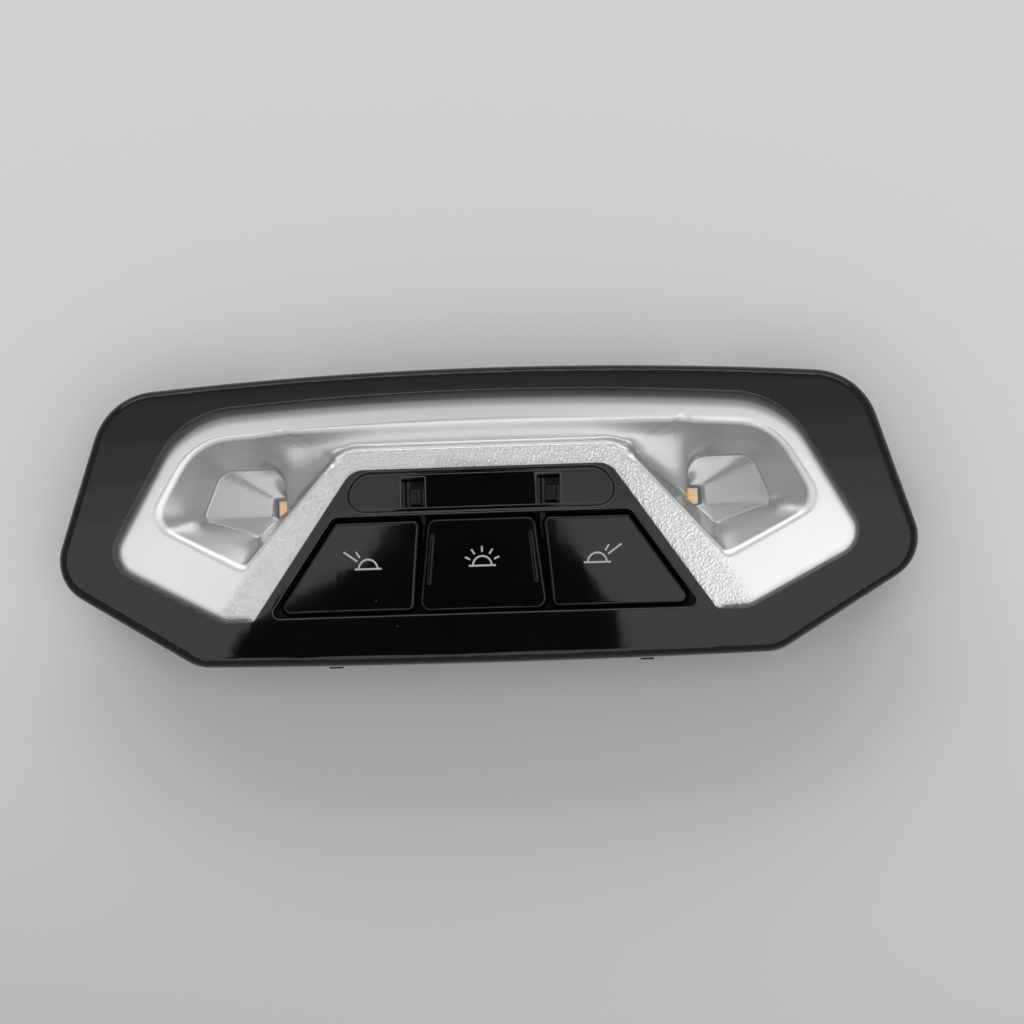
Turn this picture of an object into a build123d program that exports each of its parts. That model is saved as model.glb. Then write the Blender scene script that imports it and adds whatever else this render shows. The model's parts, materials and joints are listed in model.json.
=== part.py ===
from build123d import *
import math
import os

# ---- frame and front surface (mm) -------------------------------------------
Y_SHIFT = 0.7          # brings the middle of the outline to the origin
RIM_Z = 18.0           # back plane of the bezel rim
CROWN_Z = 26.3         # highest point of the front surface
CROWN_RX = 838.0       # crown radius along the width
CROWN_RY = 454.0       # crown radius along the height
WALL = 2.5             # bezel and window thickness
SIDE_WALL = 2.2        # bezel rim thickness
EDGE_R = 2.2           # rolled front edge of the bezel
OPEN_EDGE_R = 0.45     # edge of the button and strip openings
SEAM = 0.03            # parting line between bezel and window

# ---- outlines seen from the front: (x, y, corner radius) ---------------------
OUT_TOP, OUT_BOTTOM = 32.0, -33.4
OUT_PTS = [(84.26, 28.59, 15.0), (97.86, -12.42, 10.0), (64.7, -32.6, 10.0)]
WIN_TOP = 26.9
WIN_PTS = [(67.1, 24.06, 20.0), (85.76, -8.95, 6.5), (58.8, -23.1, 6.0),
           (51.55, -23.1, 1.5), (28.7, 9.75, 5.0)]
TROUGH_TOP = 20.2
TROUGH_PTS = [(64.36, 17.96, 14.0), (74.91, -0.04, 4.8), (53.93, -11.11, 2.0),
              (30.9, 14.4, 4.0)]
OPEN_PTS = [(33.0, -0.6, 2.0), (48.15, -22.4, 1.3)]
STRIP_PTS = [(26.9, 9.0, 4.5), (32.8, 0.5, 3.6)]

# ---- reflector ----------------------------------------------------------------
REFL_GAP = 0.3         # air between window and reflector
REFL_T = 1.5           # reflector wall
REFL_OVER = 0.9        # reflector reaches under the bezel by this much
REFL_SKIRT_Z = 14.6
REFL_EDGE_R = 1.8
WELL_PTS = [(30.4, 15.0, 1.5), (46.8, 19.2, 1.5), (64.36, 17.96, 14.0),
            (74.91, -0.04, 4.8), (53.93, -11.11, 2.0)]
POCKET_PTS = [(44.3, 2.2, 1.5), (45.0, 11.5, 2.6), (59.5, 11.4, 2.6),
              (64.0, 0.6, 1.3), (50.6, -3.7, 0.8)]
HOLE_PTS = [(44.35, 2.3, 0.4), (44.4, 5.0, 0.5), (47.3, 5.0, 0.5), (47.3, 0.5, 0.5), (45.9, 0.4, 0.3)]
POCKET_Z = 15.2        # level of the pocket edge
POCKET_IN_Z = 13.0     # pocket floor at the LED
CHANNEL_DEPTH = 2.6

# ---- lights --------------------------------------------------------------------
LED_X, LED_Y = 45.5, 2.7
LED_W, LED_L, LED_H = 2.8, 3.5, 0.8
GUIDE_X, GUIDE_Y = 15.1, 4.45
SLOT_W, SLOT_L = 5.0, 6.5

# ---- circuit board ---------------------------------------------------------------
PCB_TOP = 11.2
PCB_T = 1.6
PCB_HALF_X, PCB_Y0, PCB_Y1 = 54.0, -25.0, 13.0
STAKES = [(-51.0, 10.0), (51.0, 10.0), (-51.0, -22.0), (51.0, -22.0)]

# ---- buttons ---------------------------------------------------------------------
BTN_SINK = 0.3
BTN_CAP = 1.7
BTN_SKIRT_T = 1.3
BTN_SKIRT_Z = 19.6
BTN_EDGE_R, MID_EDGE_R = 0.7, 0.5
BTN_SIDE = [(14.1, -2.0, 1.1), (32.6, -2.0, 1.4), (45.5, -21.1, 1.2), (15.9, -21.1, 1.1)]
BTN_MID = [(11.5, -2.0, 1.6), (13.5, -21.1, 1.6), (-13.5, -21.1, 1.6), (-11.5, -2.0, 1.6)]
SIDE_FLANK, MID_FLANK = 0.9, 1.2   # the sides of a button slope outwards by this much
FLANK_DEPTH = 2.2      # lower end of the slope below the front surface
BTN_SKIRT_IN = 1.1     # the skirt is set in from the top outline
PIVOT_Y, PIVOT_Z = -3.6, 21.4
PIN_R, BORE_R = 0.8, 0.84
PRESS_Y = -14.6
SIDE_PRESS_X = 25.5
PUSH_R = 1.5
SWITCH = 6.0
SWITCH_H = 3.4
PLUNGER_R = 1.6
PLUNGER_TOP = 16.0
PUSH_GAP = 0.5

# ---- pictograms -------------------------------------------------------------------
ICON_Y = -12.1
ICON_STROKE = 0.40
ICON_BASE = 6.0
ICON_BASE_DEPTH = 0.8  # the base line stops short so that the inside of the dome stays one piece with the button
DOME_R = 2.3

# ---- rear housing -------------------------------------------------------------------
HOUSE_IN = 4.6         # housing wall sits this far inside the bezel outline
HOUSE_T = 2.0
HOUSE_TOP = 17.2
SCREWS = [(-84.2, 3.5), (84.2, 3.5), (-62.0, -26.0), (62.0, -26.0)]
SEAT_Z = 13.0
HOOK_X = 34.8
CLIP_X = 46.0
CLIP_W = 9.0
CLIP_T = 0.6
CONN_X, CONN_Y = 0.0, -5.0


# ---- helpers ----------------------------------------------------------------------
def near(face, x, y):
    return [v for v in face.vertices() if math.hypot(v.X - x, v.Y - y) < 0.02]


def rounded(edges, corners):
    face = make_face(edges)
    for x, y, r in corners:
        face = fillet(near(face, x, y), r)
    return face


def mirrored_loop(pts, top=None, bottom=None):
    right = [(x, y) for x, y, r in pts]
    left = [(-x, y) for x, y in right]
    edges = []
    if top is None:
        edges.append(Line(left[0], right[0]))
    else:
        edges.append(ThreePointArc(left[0], (0, top), right[0]))
    for a, b in zip(right, right[1:]):
        edges.append(Line(a, b))
    if bottom is None:
        edges.append(Line(right[-1], left[-1]))
    else:
        edges.append(ThreePointArc(right[-1], (0, bottom), left[-1]))
    for a, b in zip(left[::-1], left[::-1][1:]):
        edges.append(Line(a, b))
    return rounded(edges, [(s * x, y, r) for x, y, r in pts for s in (1, -1)])


def loop(pts):
    p = [(x, y) for x, y, r in pts]
    edges = [Line(a, b) for a, b in zip(p, p[1:] + p[:1])]
    return rounded(edges, pts)


def prism(face, z0, z1):
    return Pos(0, 0, z0) * extrude(face, amount=z1 - z0)


def block(x0, x1, y0, y1, z0, z1):
    return Pos((x0 + x1) / 2, (y0 + y1) / 2, (z0 + z1) / 2) * Box(x1 - x0, y1 - y0, z1 - z0)


def rod(x, y, z0, z1, r):
    return Pos(x, y, (z0 + z1) / 2) * Cylinder(r, z1 - z0)


def crown(depth):
    """Everything below the front surface set back by depth."""
    r = CROWN_RY - depth
    zc = CROWN_Z - CROWN_RY
    half = 60.0
    zs = zc + math.sqrt(r * r - half * half)
    prof = make_face([
        ThreePointArc((0, -half, zs), (0, 0, zc + r), (0, half, zs)),
        Line((0, half, zs), (0, half, -8)),
        Line((0, half, -8), (0, -half, -8)),
        Line((0, -half, -8), (0, -half, zs))])
    axis = Axis((0, 0, CROWN_Z - CROWN_RX), (0, 1, 0))
    return revolve(prof.rotate(axis, -8), axis, 16)


def front_z(x, y, depth=0.0):
    ry = CROWN_RY - depth
    rho = CROWN_RX - CROWN_RY + math.sqrt(ry * ry - y * y)
    return CROWN_Z - CROWN_RX + math.sqrt(rho * rho - x * x)


def flip(part):
    return mirror(part, about=Plane.YZ)


nodes = {}


def keep(name, part):
    nodes[name] = part


# ---- bezel and window ---------------------------------------------------------------
OUT = mirrored_loop(OUT_PTS, OUT_TOP, OUT_BOTTOM)
WIN = mirrored_loop(WIN_PTS, WIN_TOP)
OPEN = mirrored_loop(OPEN_PTS)
STRIP = mirrored_loop(STRIP_PTS)

skin = prism(OUT, RIM_Z, 40) & crown(0)
skin_top = skin.faces().sort_by(Axis.Z)[-1]
skin = fillet(skin_top.edges(), EDGE_R)
cavity = prism(offset(OUT, amount=-SIDE_WALL), RIM_Z - 1, 40) & crown(WALL)
shell = skin - cavity
window_tool = prism(WIN, 10, 40)
clear_window = shell & prism(offset(WIN, amount=-SEAM), 10, 40)
bezel = shell - window_tool - prism(OPEN, 10, 40) - prism(STRIP, 10, 40)


def on_panel(e):
    c = e.center()
    edge_x = 48.1 - 0.695 * (c.Y + 18.15)
    return (abs(c.Z - front_z(c.X, c.Y)) < 0.15 and -22.8 < c.Y < 9.3 and edge_x - abs(c.X) > 1.8)


bezel = fillet([e for e in bezel.edges() if on_panel(e)], OPEN_EDGE_R)
for x, y in SCREWS:
    boss = rod(x, y, SEAT_Z, 40, 3.0) & crown(WALL - 0.3)
    bezel = bezel + boss - rod(x, y, SEAT_Z - 1, 20.0, 1.3)
keep("front_bezel", bezel)
keep("clear_window", clear_window)

# ---- strip cover with two slots --------------------------------------------------------
cover = (prism(offset(STRIP, amount=-0.06), 10, 40) & crown(0.55)) - crown(WALL + 0.05)
cover_lip = (prism(offset(STRIP, amount=0.7), 10, 40) & crown(WALL + 0.05)) - crown(WALL + 1.0)
cover_lip = cover_lip - prism(offset(WIN, amount=REFL_OVER + 0.25), 5, 41)
cover = cover + cover_lip
rim_ring = (prism(offset(STRIP, amount=-0.06), 10, 40) - prism(offset(STRIP, amount=-0.75), 9, 41))
cover = cover + ((rim_ring & crown(0.3)) - crown(0.8))
for s in (-1, 1):
    gx = s * GUIDE_X
    cover = cover - block(gx - SLOT_W / 2, gx + SLOT_W / 2, GUIDE_Y - SLOT_L / 2, GUIDE_Y + SLOT_L / 2, 10, 40)
    frame = block(gx - SLOT_W / 2 - 0.45, gx + SLOT_W / 2 + 0.45, GUIDE_Y - SLOT_L / 2 - 0.45, GUIDE_Y + SLOT_L / 2 + 0.45, 10, 40)
    frame = frame - block(gx - SLOT_W / 2, gx + SLOT_W / 2, GUIDE_Y - SLOT_L / 2, GUIDE_Y + SLOT_L / 2, 9, 41)
    cover = cover + ((frame & crown(0.35)) - crown(0.8))
    well = block(gx - SLOT_W / 2 - 0.8, gx + SLOT_W / 2 + 0.8, GUIDE_Y - SLOT_L / 2 - 0.8, GUIDE_Y + SLOT_L / 2 + 0.8, 18.6, 40)
    well = (well & crown(WALL + 0.5)) - block(gx - SLOT_W / 2, gx + SLOT_W / 2, GUIDE_Y - SLOT_L / 2, GUIDE_Y + SLOT_L / 2, 9, 41)
    cover = cover + well
    guide = block(gx - 1.3, gx + 1.3, GUIDE_Y - 2.4, GUIDE_Y + 1.2, 17.0, 21.8)
    foot = block(gx - 2.3, gx + 2.3, GUIDE_Y - 3.0, GUIDE_Y + 3.0, PCB_TOP, 18.5)
    foot = foot - block(gx - 1.6, gx + 1.6, GUIDE_Y - 2.2, GUIDE_Y + 1.0, PCB_TOP - 1, PCB_TOP + 1.4)
    guide = fillet(guide.faces().sort_by(Axis.Z)[-1].edges(), 0.4) + foot
    keep("left_light_guide" if s < 0 else "right_light_guide", guide)
keep("strip_cover", cover)

# ---- reflector trim ---------------------------------------------------------------------
REFL_DEPTH = WALL + REFL_GAP
refl_face = offset(WIN, amount=REFL_OVER)
body = prism(refl_face, REFL_SKIRT_Z, 40) & crown(REFL_DEPTH)
top = body.faces().sort_by(Axis.Z)[-1]
rolled = [e for e in top.edges() if not (abs(e.center().X) < 52.5 and e.center().Y < 12)]
body = fillet(rolled, REFL_EDGE_R)
hollow = prism(offset(refl_face, amount=-REFL_T), REFL_SKIRT_Z - 1, 40) & crown(REFL_DEPTH + REFL_T)
tray = body - hollow


def corners(pts):
    """Tangent points, arc middle and bisector of every rounded corner."""
    out = []
    n = len(pts)
    for i in range(n):
        x, y, r = pts[i]
        ax, ay = pts[i - 1][0] - x, pts[i - 1][1] - y
        bx, by = pts[(i + 1) % n][0] - x, pts[(i + 1) % n][1] - y
        la, lb = math.hypot(ax, ay), math.hypot(bx, by)
        ax, ay, bx, by = ax / la, ay / la, bx / lb, by / lb
        half = math.acos(max(-1.0, min(1.0, ax * bx + ay * by))) / 2
        mx, my = ax + bx, ay + by
        k = math.hypot(mx, my)
        mx, my = mx / k, my / k
        t, d = r / math.tan(half), r / math.sin(half)
        out.append({"in": (x + ax * t, y + ay * t), "mid": (x + mx * (d - r), y + my * (d - r)),
                    "out": (x + bx * t, y + by * t), "bis": (mx, my), "half": half})
    return out


def grown(pts, g):
    return [(x - c["bis"][0] * g / math.sin(c["half"]), y - c["bis"][1] * g / math.sin(c["half"]), r + g)
            for (x, y, r), c in zip(pts, corners(pts))]


def corner_wire(pts, level):
    def up(p):
        return (p[0], p[1], level(p[0]))
    cs = corners(pts)
    edges = []
    for i, c in enumerate(cs):
        edges.append(Line(up(cs[i - 1]["out"]), up(c["in"])))
        edges.append(ThreePointArc(up(c["in"]), up(c["mid"]), up(c["out"])))
    return Wire(edges)


def well_level(x):
    x0, x1 = 31.0, 75.0
    z0, z1 = front_z(x0, 5, REFL_DEPTH), front_z(x1, 5, REFL_DEPTH)
    return z0 + (z1 - z0) * (x - x0) / (x1 - x0) + 0.5


def well_solid(grow, drop):
    upper = corner_wire(grown(WELL_PTS, grow), well_level)
    lower = corner_wire(grown(POCKET_PTS, grow), lambda x: POCKET_Z - drop)
    return Solid.make_loft([upper, lower], True)


def funnel_solid(grow, drop):
    upper = corner_wire(grown(POCKET_PTS, grow), lambda x: POCKET_Z - drop)
    lower = corner_wire(grown(HOLE_PTS, grow), lambda x: POCKET_IN_Z - drop)
    return Solid.make_loft([upper, lower], True)


def channel(grow, depth):
    sections = []
    half = [(0.0, 14.4, depth), (16.0, 14.4, depth), (29.0, 14.4, depth), (39.0, 15.7, 0.75 * depth), (50.0, 17.4, 0.2 * depth)]
    full = [(-x, y, d) for x, y, d in half[:0:-1]] + half
    for x, y, d in full:
        yb, yt = y - grow, TROUGH_TOP - 5.2e-4 * x * x + grow
        zb, zt = front_z(x, yb, REFL_DEPTH), front_z(x, yt, REFL_DEPTH)
        mid = (x, (yb + yt) / 2 + 0.4, (zb + zt) / 2 - d)
        sections.append(Wire([
            ThreePointArc((x, yb, zb), mid, (x, yt, zt)),
            Line((x, yt, zt), (x, yt + 0.5, zt + 1.2)),
            Line((x, yt + 0.5, zt + 1.2), (x, yb - 0.5, zb + 1.2)),
            Line((x, yb - 0.5, zb + 1.2), (x, yb, zb))]))
    return Solid.make_loft(sections, False)


well = well_solid(0, 0)
funnel = funnel_solid(0, 0)
tub = (well_solid(REFL_T, 0.9) + funnel_solid(REFL_T, 0.9)) & crown(REFL_DEPTH + 0.4)
led_hole = prism(make_face(corner_wire(HOLE_PTS, lambda x: 0.0).edges()), 5, POCKET_IN_Z + 0.05)
groove = channel(0, CHANNEL_DEPTH)
groove_out = channel(REFL_T, CHANNEL_DEPTH + REFL_T) & crown(REFL_DEPTH + 0.4)
groove_out = groove_out & block(-46, 46, 0, 40, 0, 40)
reflector = tray + groove_out + tub + flip(tub)
for tool in (well, funnel, led_hole):
    reflector = reflector - tool - flip(tool)
reflector = reflector - groove
keep("reflector_trim", reflector)

# ---- buttons and pictograms ----------------------------------------------------------------
def bar(p, q, w):
    length = math.dist(p, q)
    angle = math.degrees(math.atan2(q[1] - p[1], q[0] - p[0]))
    return Pos((p[0] + q[0]) / 2, (p[1] + q[1]) / 2) * Rot(0, 0, angle) * Rectangle(length, w)


def icon_face(rays):
    w = ICON_STROKE
    dome = Circle(DOME_R) - Circle(DOME_R - w)
    face = dome & (Pos(0, DOME_R) * Rectangle(4 * DOME_R, 2 * DOME_R))
    for p, q in rays:
        face = face + bar(p, q, w)
    return face


RAYS_SIDE = [((1.80, 2.51), (2.64, 3.83)), ((2.40, 1.74), (5.41, 3.90))]
RAYS_MID = [((0, 3.02), (0, 4.27)), ((1.63, 2.54), (2.36, 3.62)), ((-1.63, 2.54), (-2.36, 3.62)),
            ((2.64, 1.38), (3.80, 1.93)), ((-2.64, 1.38), (-3.80, 1.93))]


def inlay(x, rays, x0, x1):
    strokes = prism(Pos(x, ICON_Y) * icon_face(rays), 10, 40)
    strokes = (strokes & crown(BTN_SINK)) - crown(BTN_SINK + BTN_CAP)
    base = prism(Pos(x, ICON_Y) * bar((-ICON_BASE / 2, 0), (ICON_BASE / 2, 0), ICON_STROKE), 10, 40)
    strokes = strokes + ((base & crown(BTN_SINK)) - crown(BTN_SINK + ICON_BASE_DEPTH))
    back = block(x + x0, x + x1, ICON_Y - 0.7, ICON_Y + 4.9, 10, 40)
    back = (back & crown(BTN_SINK + BTN_CAP)) - crown(BTN_SINK + BTN_CAP + 1.0)
    return strokes + back


def cap(pts, flank, x0, x1, edge_r):
    def level(depth):
        za, zb = front_z(x0, -11.6, depth), front_z(x1, -11.6, depth)
        return lambda x: za + (zb - za) * (x - x0) / (x1 - x0)
    upper = corner_wire(pts, level(-0.4))
    lower = corner_wire(grown(pts, flank), level(FLANK_DEPTH))
    outer = Solid.make_loft([upper, lower], True) & crown(BTN_SINK)
    outer = fillet(outer.faces().sort_by(Axis.Z)[-1].edges(), edge_r)
    face = loop(pts)
    outer = outer + (prism(offset(face, amount=-BTN_SKIRT_IN), BTN_SKIRT_Z, 40) & crown(1.3))
    inner = prism(offset(face, amount=-BTN_SKIRT_IN - BTN_SKIRT_T), BTN_SKIRT_Z - 1, 40) & crown(BTN_SINK + BTN_CAP)
    return outer - inner


def pin(x0, x1):
    return Pos((x0 + x1) / 2, PIVOT_Y, PIVOT_Z) * Rot(0, 90, 0) * Cylinder(PIN_R, x1 - x0)


def pusher(x):
    return rod(x, PRESS_Y, PLUNGER_TOP + PUSH_GAP, 40, PUSH_R) & crown(BTN_SINK + 1.0)


side_icon = inlay(SIDE_PRESS_X, RAYS_SIDE, -3.4, 5.9)
mid_icon = inlay(0.0, RAYS_MID, -4.4, 4.4)
side_button = cap(BTN_SIDE, SIDE_FLANK, 14.0, 45.0, BTN_EDGE_R) + pusher(SIDE_PRESS_X) + pin(13.35, 16.0) + pin(31.4, 34.3) - side_icon
mid_button = cap(BTN_MID, MID_FLANK, -1.0, 1.0, MID_EDGE_R) + pusher(0.0) + pin(9.8, 13.15) + pin(-13.15, -9.8)
for s in (1, -1):
    grip = loop([(s * 10.3, -4.7, 0.55), (s * 11.45, -4.7, 0.55), (s * 12.55, -16.2, 0.55), (s * 11.4, -16.2, 0.55)])
    grip = prism(grip, 22, 40) & crown(BTN_SINK - 0.5)
    grip = fillet(grip.faces().sort_by(Axis.Z)[-1].edges(), 0.4)
    mid_button = mid_button + (grip - crown(BTN_SINK + 0.6))
mid_button = mid_button - mid_icon
keep("right_button", side_button)
keep("left_button", flip(side_button))
keep("centre_button", mid_button)
keep("right_pictogram", side_icon)
keep("left_pictogram", flip(side_icon))
keep("centre_pictogram", mid_icon)

# ---- button frame with the pivot bearings -------------------------------------------------------
FRAME_T = 0.9
SHIELD_Z = 17.2
frame = prism(offset(OPEN, amount=FRAME_T), PCB_TOP, 40) - prism(OPEN, PCB_TOP - 1, 41)
frame = frame & crown(WALL + 1.2)
for s in (1, -1):
    rib = block(12.7, 13.8, -6.2, 0.0, PCB_TOP, 23.0)
    outer_bearing = block(33.62, 35.9, -4.7, -2.4, 17.5, 23.2)
    pads = block(4.0, 9.0, -23.2, -22.4, 20, 40) + block(36.0, 42.0, -23.2, -22.4, 20, 40)
    pads = pads & crown(WALL)
    side = ((rib + outer_bearing) & crown(WALL + 1.2)) + pads
    frame = frame + (side if s > 0 else flip(side))
shield = prism(OPEN, SHIELD_Z, SHIELD_Z + 1.0)
for x in (-SIDE_PRESS_X, 0.0, SIDE_PRESS_X):
    shield = shield - rod(x, PRESS_Y, 10, 30, PUSH_R + 0.9) - block(x - 3, x + 3, -11.5, -7.5, 10, 30)
frame = frame + shield
for x0, x1 in ((12.0, 14.4), (-14.4, -12.0), (33.0, 34.8), (-34.8, -33.0)):
    frame = frame - Pos((x0 + x1) / 2, PIVOT_Y, PIVOT_Z) * Rot(0, 90, 0) * Cylinder(BORE_R, x1 - x0)
keep("button_frame", frame)

# ---- circuit board and its parts --------------------------------------------------------------------
board_face = Pos(0, (PCB_Y0 + PCB_Y1) / 2) * RectangleRounded(2 * PCB_HALF_X, PCB_Y1 - PCB_Y0, 2.0)
board = prism(board_face, PCB_TOP - PCB_T, PCB_TOP)
for x, y in STAKES:
    board = board - rod(x, y, 0, 20, 1.15)
keep("circuit_board", board)

led_body = prism(Pos(LED_X, LED_Y) * RectangleRounded(LED_W, LED_L, 0.25), PCB_TOP, PCB_TOP + LED_H)
led_cup = prism(Pos(LED_X, LED_Y) * RectangleRounded(LED_W - 0.6, LED_L - 0.6, 0.6), PCB_TOP + LED_H - 0.55, PCB_TOP + LED_H + 1)
phosphor = led_cup & block(LED_X - 3, LED_X + 3, LED_Y - 3, LED_Y + 3, 0, PCB_TOP + LED_H - 0.05)
led_body = led_body - led_cup
keep("right_led_body", led_body)
keep("left_led_body", flip(led_body))
keep("right_led_face", phosphor)
keep("left_led_face", flip(phosphor))

for s, side in ((-1, "left"), (1, "right")):
    gx = s * GUIDE_X
    keep(side + "_ambient_led", block(gx - 0.8, gx + 0.8, GUIDE_Y - 1.4, GUIDE_Y + 0.2, PCB_TOP, PCB_TOP + 0.8))
for x, side in ((-SIDE_PRESS_X, "left"), (0.0, "centre"), (SIDE_PRESS_X, "right")):
    keep(side + "_backlight_led", block(x - 0.8, x + 0.8, -9.9, -9.1, PCB_TOP, PCB_TOP + 0.6))
    switch = block(x - SWITCH / 2, x + SWITCH / 2, PRESS_Y - SWITCH / 2, PRESS_Y + SWITCH / 2, PCB_TOP, PCB_TOP + SWITCH_H)
    switch = chamfer(switch.edges().filter_by(Axis.Z), 0.5)
    switch = switch + rod(x, PRESS_Y, PCB_TOP + SWITCH_H - 0.4, PLUNGER_TOP, PLUNGER_R)
    keep(side + "_push_switch", switch)
chip = block(46.6, 51.6, -17.0, -12.0, PCB_TOP, PCB_TOP + 1.0)
chip = chamfer(chip.faces().sort_by(Axis.Z)[-1].edges(), 0.15)
keep("driver_chip", chip)
small = []
for i in range(4):
    small.append(block(-51.4, -49.4, -18.0 + 3.0 * i, -16.75 + 3.0 * i, PCB_TOP, PCB_TOP + 0.7))
for i in range(3):
    small.append(block(-48.0, -46.8, -12.6 + 2.6 * i, -10.6 + 2.6 * i, PCB_TOP, PCB_TOP + 0.7))
keep("board_components", small[0] + small[1:])

# ---- connector ---------------------------------------------------------------------------------------
CW, CD = 16.0, 10.0
shell_box = block(CONN_X - CW / 2, CONN_X + CW / 2, CONN_Y - CD / 2, CONN_Y + CD / 2, 0.8, PCB_TOP - PCB_T)
shell_box = fillet(shell_box.edges().filter_by(Axis.Z), 0.8)
socket = block(CONN_X - CW / 2 + 1.3, CONN_X + CW / 2 - 1.3, CONN_Y - CD / 2 + 1.3, CONN_Y + CD / 2 - 1.3, 0, 8.0)
key = block(CONN_X - 1.2, CONN_X + 1.2, CONN_Y + CD / 2 - 2, CONN_Y + CD / 2 - 0.6, 0, 8.0)
shell_box = shell_box - socket - key
pins = []
for i in range(5):
    for j in range(2):
        px, py = CONN_X + (i - 2) * 2.2, CONN_Y + (j - 0.5) * 2.6
        p = block(px - 0.32, px + 0.32, py - 0.32, py + 0.32, 4.4, PCB_TOP - PCB_T)
        pins.append(p)
        shell_box = shell_box - p
keep("connector_shell", shell_box)
keep("connector_pins", pins[0] + pins[1:])

# ---- rear housing ------------------------------------------------------------------------------------
HS = offset(OUT, amount=-HOUSE_IN)
house = prism(HS, 0, HOUSE_TOP)
house = fillet(house.faces().sort_by(Axis.Z)[0].edges(), 1.2)
house = house - prism(offset(HS, amount=-HOUSE_T), HOUSE_T, 40)
house = house - prism(offset(refl_face, amount=0.4), REFL_SKIRT_Z - 0.4, 40)
for x, y in STAKES:
    house = house + rod(x, y, 1.0, PCB_TOP - PCB_T, 2.6) + rod(x, y, 5, PCB_TOP + 0.4, 1.05) + rod(x, y, PCB_TOP, PCB_TOP + 0.4, 1.7)
for x, y in SCREWS:
    house = house + rod(x, y, 0.0, SEAT_Z, 3.9)
for x, y in SCREWS:
    house = house - rod(x, y, SEAT_Z, 40, 3.4)
    house = house - rod(x, y, -1, 10.5, 3.1) - rod(x, y, 5, SEAT_Z + 1, 1.5)
house = house - block(CONN_X - CW / 2 - 0.4, CONN_X + CW / 2 + 0.4, CONN_Y - CD / 2 - 0.4, CONN_Y + CD / 2 + 0.4, -1, 3)
HOOK_Y = -33.25
for s in (1, -1):
    hx = s * HOOK_X
    hook = block(hx - 1.4, hx + 1.4, HOOK_Y, -27.5, 11.6, 14.0) + block(hx - 1.4, hx + 1.4, HOOK_Y, HOOK_Y + 1.0, 13.0, 14.6)
    house = house + hook
    pad = block(s * CLIP_X - 6.0, s * CLIP_X + 6.0, 24.6, 27.0, 1.4, 14.0)
    house = house + pad + (Pos(s * CLIP_X, 27.3, 9.0) * Rot(90, 0, 0) * Cylinder(1.2, 1.8))
keep("rear_housing", house)


# ---- spring clips --------------------------------------------------------------------------------------
def band(pts, t):
    """Closed face of a strip of thickness t laid along an open path on its left side."""
    off = []
    for i, p in enumerate(pts):
        if i == 0:
            d = [(pts[1][0] - p[0], pts[1][1] - p[1])]
        elif i == len(pts) - 1:
            d = [(p[0] - pts[i - 1][0], p[1] - pts[i - 1][1])]
        else:
            d = [(p[0] - pts[i - 1][0], p[1] - pts[i - 1][1]), (pts[i + 1][0] - p[0], pts[i + 1][1] - p[1])]
        n = []
        for dx, dy in d:
            k = math.hypot(dx, dy)
            n.append((-dy / k, dx / k))
        if len(n) == 1:
            off.append((p[0] + t * n[0][0], p[1] + t * n[0][1]))
        else:
            m = (n[0][0] + n[1][0], n[0][1] + n[1][1])
            q = m[0] * n[0][0] + m[1] * n[0][1]
            off.append((p[0] + t * m[0] / q, p[1] + t * m[1] / q))
    return pts + off[::-1]


bend = [(28.15 + 0.55 * math.cos(a), 4.0 + 0.55 * math.sin(a)) for a in [math.radians(180 + 15 * k) for k in range(13)]]
path = [(27.6, 13.6)] + bend + [(30.5, 10.2), (30.55, 10.7), (28.9, 13.4)]
clip_pts = band(path, -CLIP_T)
clip_face = make_face([Line((0, a[0], a[1]), (0, b[0], b[1])) for a, b in zip(clip_pts, clip_pts[1:] + clip_pts[:1])])
clip = Pos(CLIP_X - CLIP_W / 2, 0, 0) * extrude(clip_face, amount=CLIP_W, dir=(1, 0, 0))
clip = clip - (Pos(CLIP_X, 27.3, 9.0) * Rot(90, 0, 0) * Cylinder(1.25, 1.4))
keep("right_spring_clip", clip)
keep("left_spring_clip", flip(clip))

# ---- screws ---------------------------------------------------------------------------------------------
for (x, y), name in zip(SCREWS, ("left_wing_screw", "right_wing_screw", "left_lower_screw", "right_lower_screw")):
    screw = rod(x, y, 8.2, 10.5, 2.8) + rod(x, y, 10.0, 19.0, 1.3)
    for ang in (0, 90):
        screw = screw - Pos(x, y, 8.5) * Rot(0, 0, ang) * Box(3.0, 0.7, 1.8)
    keep(name, screw)

if __name__ == "__main__":
    os.makedirs("parts", exist_ok=True)
    for name, part in nodes.items():
        part = Pos(0, Y_SHIFT, 0) * part
        part.label = name
        export_step(part, os.path.join("parts", name + ".step"))
        bb = part.bounding_box()
        print(name, len(part.solids()), round(part.volume, 2), [round(v, 2) for v in (*bb.min, *bb.max)], part.is_valid)
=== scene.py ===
import json
import math

import bpy
import numpy as np
from mathutils import Matrix, Vector
from mathutils.geometry import delaunay_2d_cdt


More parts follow.
